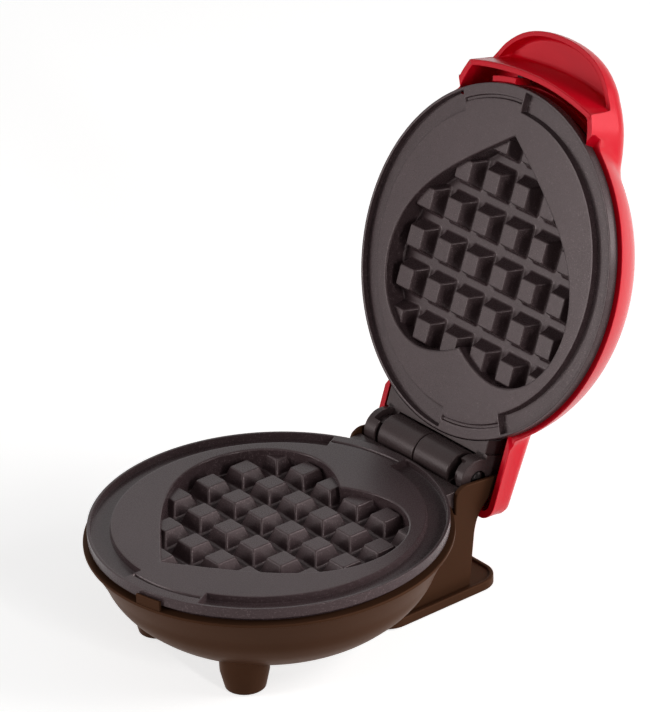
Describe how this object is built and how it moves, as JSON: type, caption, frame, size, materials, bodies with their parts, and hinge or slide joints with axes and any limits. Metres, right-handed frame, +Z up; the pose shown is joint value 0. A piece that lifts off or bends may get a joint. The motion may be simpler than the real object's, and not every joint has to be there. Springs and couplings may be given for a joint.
{
  "type": "mini waffle maker",
  "caption": "Small round countertop waffle maker with heart-shaped moulds and a domed lid hinged at the rear, standing open.",
  "frame": {"origin": "centre of the overall box, on the worktop under the feet, with the lid open", "axes": "+Z up; -Y towards the handle side of the closed lid, the user's side; +X to the user's right"},
  "size_m": [0.127, 0.2044, 0.1805],
  "materials": {
    "plate_coating": "dark grey speckled non-stick coating on cast aluminium, satin",
    "frame_coating": "dark grey painted bracket, satin",
    "dark_plastic": "black-brown, satin gloss",
    "red_plastic": "bright red, high gloss",
    "steel": "bare steel",
    "black_steel": "black oxide, satin",
    "rubber": "black, matt",
    "ceramic": "off-white, unglazed",
    "lens": "clear white, polished",
    "bakelite": "black-brown moulded body"
  },
  "bodies": {
    "base": {"lower_housing": "dark_plastic", "lower_frame": "frame_coating", "lower_plate": "plate_coating", "lower_element": "steel", "thermostat": "bakelite", "terminal_block": "ceramic", "cord_gland": "rubber", "hinge_pin": "black_steel", "foot_pad_front_left": "rubber", "foot_pad_front_right": "rubber", "foot_pad_rear_left": "rubber", "foot_pad_rear_right": "rubber", "foot_screw_left": "steel", "foot_screw_right": "steel", "lower_frame_screw_1": "steel", "lower_frame_screw_2": "steel", "lower_frame_screw_3": "steel"},
    "lid": {"lid_shell": "red_plastic", "upper_frame": "frame_coating", "upper_plate": "plate_coating", "upper_element": "steel", "thermal_fuse": "ceramic", "indicator_lens": "lens", "indicator_lamp": "lens", "handle_post": "black_steel", "upper_frame_screw_1": "steel", "upper_frame_screw_2": "steel", "upper_frame_screw_3": "steel"}
  },
  "joints": [
    {"name": "lid_hinge", "type": "hinge", "parent": "base", "child": "lid", "pos_m": [0, 0.03168, 0.04244], "axis": [1, 0, 0], "range_deg": [0, 110.7]}
  ]
}
